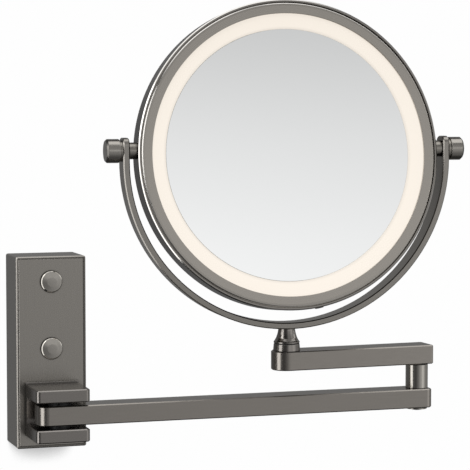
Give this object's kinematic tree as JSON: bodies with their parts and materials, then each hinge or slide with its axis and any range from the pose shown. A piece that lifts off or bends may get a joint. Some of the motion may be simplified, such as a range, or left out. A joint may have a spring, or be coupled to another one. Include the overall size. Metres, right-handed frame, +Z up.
{
  "type": "extendable shaving mirror",
  "caption": "Wall-mounted round lit shaving mirror, two-sided, tilting in a U-shaped yoke on a folding pair of arms.",
  "frame": {"origin": "middle of the plate's wall face", "axes": "+X right along the wall, +Y into the wall so the mirror faces -Y, +Z up"},
  "size_m": [0.316, 0.0831, 0.3101],
  "materials": {
    "gunmetal_steel": "fine brushed gunmetal plating, satin",
    "gunmetal_aluminium": "fine brushed gunmetal plating, satin",
    "plain_steel": "plain machined steel",
    "acetal": "moulded low-friction plastic, matt",
    "opal_acrylic": "opal acrylic, softly glossy, lit from inside",
    "mirror_glass": "silvered glass, polished",
    "core_plastic": "moulded, matt white",
    "foam_tape": "black closed-cell foam tape",
    "led_board": "white-masked circuit board",
    "led_chip": "phosphor under clear resin",
    "battery_foil": "foil pouch, matt",
    "flex_film": "amber film",
    "circuit_board": "green-masked circuit board",
    "switch_body": "black moulding",
    "button_plastic": "moulded, matt dark grey"
  },
  "bodies": {
    "wall_base": {"wall_plate": "gunmetal_steel", "screw_cap_upper": "gunmetal_steel", "screw_cap_lower": "gunmetal_steel", "clevis_bracket": "gunmetal_steel", "clevis_screws": "plain_steel", "hinge_pin": "plain_steel", "hinge_washer_upper": "acetal", "hinge_washer_lower": "acetal"},
    "lower_arm": {"lower_arm": "gunmetal_aluminium", "hinge_bush_upper": "acetal", "hinge_bush_lower": "acetal", "elbow_column": "gunmetal_steel", "elbow_bush": "acetal"},
    "upper_arm": {"upper_arm": "gunmetal_aluminium", "elbow_bolt": "gunmetal_steel", "elbow_washer": "acetal", "elbow_spring_washer": "plain_steel", "swivel_collar": "gunmetal_steel", "swivel_washer": "acetal", "swivel_bush": "acetal"},
    "yoke": {"swivel_bell": "gunmetal_steel", "swivel_shaft": "plain_steel", "swivel_spring_washer": "plain_steel", "swivel_nut": "plain_steel", "yoke": "gunmetal_steel", "yoke_screw": "plain_steel", "pivot_bush_left": "acetal", "pivot_bush_right": "acetal"},
    "head": {"housing_band": "gunmetal_aluminium", "front_bezel": "gunmetal_aluminium", "rear_bezel": "gunmetal_aluminium", "front_diffuser": "opal_acrylic", "rear_diffuser": "opal_acrylic", "front_mirror": "mirror_glass", "rear_mirror": "mirror_glass", "core_frame": "core_plastic", "mirror_tape_front": "foam_tape", "mirror_tape_rear": "foam_tape", "led_ring_front": "led_board", "led_ring_rear": "led_board", "led_chips_front": "led_chip", "led_chips_rear": "led_chip", "battery": "battery_foil", "battery_flex": "flex_film", "control_board": "circuit_board", "charging_port": "plain_steel", "press_switch": "switch_body", "pivot_block_left": "gunmetal_aluminium", "pivot_block_right": "gunmetal_aluminium", "pivot_stud_left": "plain_steel", "pivot_stud_right": "plain_steel", "pivot_spacer_left": "gunmetal_steel", "pivot_spacer_right": "gunmetal_steel", "knob_washer_left": "gunmetal_steel", "knob_washer_right": "gunmetal_steel"},
    "knob_left": {"tilt_knob_left": "gunmetal_steel"},
    "knob_right": {"tilt_knob_right": "gunmetal_steel"},
    "button": {"power_button": "button_plastic"}
  },
  "joints": [
    {"name": "wall_swing", "type": "hinge", "parent": "wall_base", "child": "lower_arm", "pos_m": [0, -0.05775, -0.0396], "axis": [0, 0, -1], "range_deg": [0, 180]},
    {"name": "elbow_swing", "type": "hinge", "parent": "lower_arm", "child": "upper_arm", "pos_m": [0.263, -0.05775, -0.0239], "axis": [0, 0, -1], "continuous": true},
    {"name": "head_swivel", "type": "hinge", "parent": "upper_arm", "child": "yoke", "pos_m": [0.16194, -0.06305, 0.004], "axis": [0, 0, 1], "continuous": true},
    {"name": "head_tilt", "type": "hinge", "parent": "yoke", "child": "head", "pos_m": [0.16194, -0.06305, 0.1393], "axis": [0.999, -0.0436, 0], "continuous": true},
    {"name": "left_knob_turn", "type": "hinge", "parent": "head", "child": "knob_left", "pos_m": [0.16194, -0.06305, 0.1393], "axis": [0.999, -0.0436, 0], "range_deg": [0, 90]},
    {"name": "right_knob_turn", "type": "hinge", "parent": "head", "child": "knob_right", "pos_m": [0.16194, -0.06305, 0.1393], "axis": [0.999, -0.0436, 0], "range_deg": [0, 90]},
    {"name": "power_press", "type": "slide", "parent": "head", "child": "button", "axis": [-0.1867, 0.0972, 0.9776], "range_m": [0, 0.0008], "stiffness_N_per_m": 1500}
  ]
}
